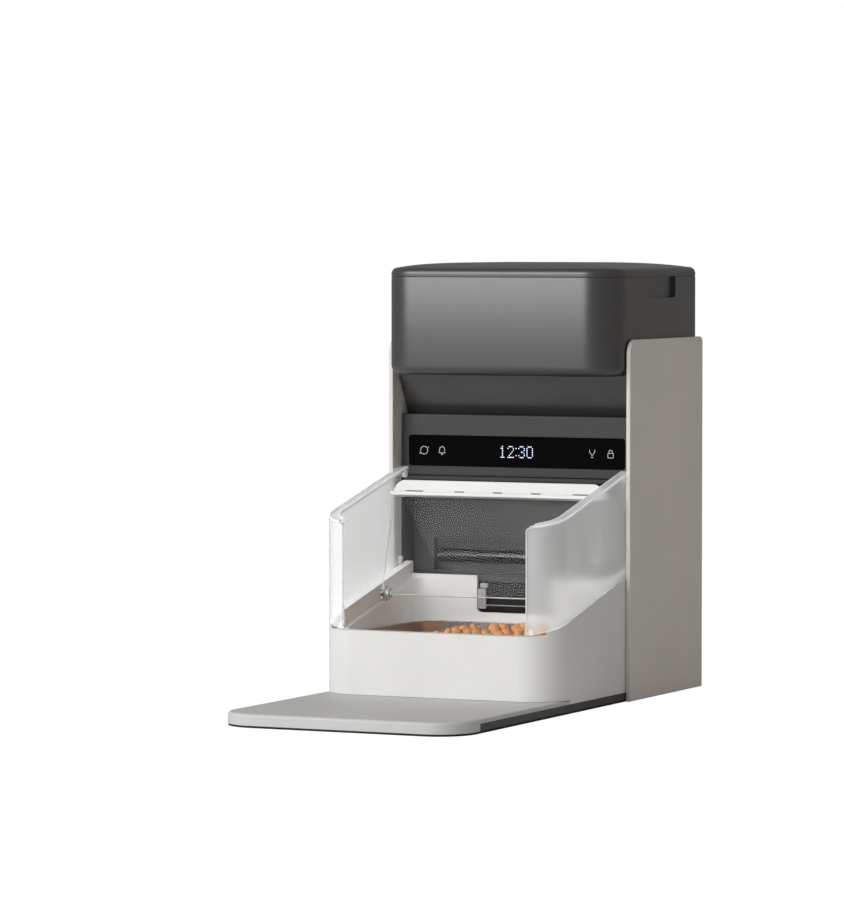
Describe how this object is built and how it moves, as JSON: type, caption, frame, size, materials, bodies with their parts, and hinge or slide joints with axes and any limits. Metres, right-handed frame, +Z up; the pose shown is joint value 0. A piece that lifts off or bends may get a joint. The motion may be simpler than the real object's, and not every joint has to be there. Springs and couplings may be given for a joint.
{
  "type": "microchip pet feeder",
  "caption": "Dry food feeder for a cat: hopper with lift-off lid over a metered chute, lift-out bowl under a motorised clear cover between clear side guards, with a flat step plate.",
  "frame": {"origin": "centre of the footprint on the floor", "axes": "+Z up, -Y towards the step plate and the pet, +X to the right seen from the front"},
  "size_m": [0.23, 0.5012, 0.377],
  "materials": {
    "white_plastic": "satin white moulded plastic",
    "stone_panel": "warm light grey satin panel",
    "plate_grey": "fine grained light grey plate",
    "charcoal_plastic": "satin charcoal moulded plastic",
    "tray_plastic": "dark grey plastic",
    "clear_plastic": "clear slightly frosted plastic",
    "display_glass": "glossy black display window",
    "flap_black": "smoked black plastic",
    "bowl_steel": "brushed stainless steel",
    "steel": "plain steel",
    "foot_rubber": "black rubber",
    "silicone": "grey silicone",
    "acetal": "natural acetal",
    "circuit_board": "green circuit board",
    "copper": "enamelled copper wire",
    "cell_wrap": "plain grey cell sleeve"
  },
  "bodies": {
    "feeder": {"foot_pad": "foot_rubber", "base_tray": "tray_plastic", "step_plate": "plate_grey", "bowl_housing": "white_plastic", "guard_left": "clear_plastic", "guard_right": "clear_plastic", "cover_motor": "steel", "outlet_frame": "clear_plastic", "rear_body": "charcoal_plastic", "sensor_bar": "flap_black", "control_fascia": "charcoal_plastic", "display_lens": "display_glass", "display_board": "circuit_board", "hopper_shell": "charcoal_plastic", "side_panel_left": "stone_panel", "side_panel_right": "stone_panel", "dispenser_drum": "white_plastic", "motor_bracket": "steel", "gear_motor": "steel", "food_chute": "white_plastic", "back_cover": "charcoal_plastic", "case_screw_1": "steel", "case_screw_2": "steel", "case_screw_3": "steel", "case_screw_4": "steel", "battery_cell_1": "cell_wrap", "battery_cell_2": "cell_wrap", "battery_cell_3": "cell_wrap", "main_board": "circuit_board", "chip_reader_antenna": "copper", "power_inlet": "flap_black"},
    "lid": {"hopper_lid": "charcoal_plastic", "lid_seal": "silicone", "desiccant_box": "white_plastic"},
    "cover": {"cover_bar": "white_plastic", "cover_panel": "clear_plastic", "cover_pin_left": "steel", "cover_pin_right": "steel", "cover_gear": "acetal"},
    "cover_drive": {"cover_drive_gear": "acetal"},
    "food_bowl": {"bowl": "bowl_steel"},
    "portioner": {"portion_wheel": "silicone", "portion_shaft": "steel", "portion_gear": "acetal"},
    "pinion": {"motor_pinion": "acetal"},
    "flap": {"outlet_flap": "flap_black"},
    "battery_door": {"battery_cover": "charcoal_plastic"}
  },
  "joints": [
    {"name": "lid_lift", "type": "slide", "parent": "feeder", "child": "lid", "axis": [0, 0, 1], "range_m": [0, 0.12]},
    {"name": "cover_swing", "type": "hinge", "parent": "feeder", "child": "cover", "pos_m": [0, 0.04165, 0.09], "axis": [1, 0, 0], "range_deg": [0, 114]},
    {"name": "cover_drive_turn", "type": "hinge", "parent": "feeder", "child": "cover_drive", "pos_m": [0, 0.04165, 0.075], "axis": [1, 0, 0], "range_deg": [-80, 2]},
    {"name": "bowl_lift", "type": "slide", "parent": "feeder", "child": "food_bowl", "axis": [0, 0, 1], "range_m": [0, 0.0045]},
    {"name": "portion_turn", "type": "hinge", "parent": "feeder", "child": "portioner", "pos_m": [0, 0.18665, 0.2115], "axis": [1, 0, 0], "continuous": true},
    {"name": "pinion_turn", "type": "hinge", "parent": "feeder", "child": "pinion", "pos_m": [0, 0.21265, 0.2115], "axis": [1, 0, 0], "continuous": true},
    {"name": "flap_swing", "type": "hinge", "parent": "feeder", "child": "flap", "pos_m": [0, 0.10685, 0.0953], "axis": [-1, 0, 0], "range_deg": [0, 55]},
    {"name": "battery_door_pull", "type": "slide", "parent": "feeder", "child": "battery_door", "axis": [0, 1, 0], "range_m": [0, 0.04]}
  ],
  "couplings": [
    {"joint": "cover_drive_turn", "follows": "cover_swing", "ratio": -0.66667},
    {"joint": "pinion_turn", "follows": "portion_turn", "ratio": -3.3333}
  ]
}
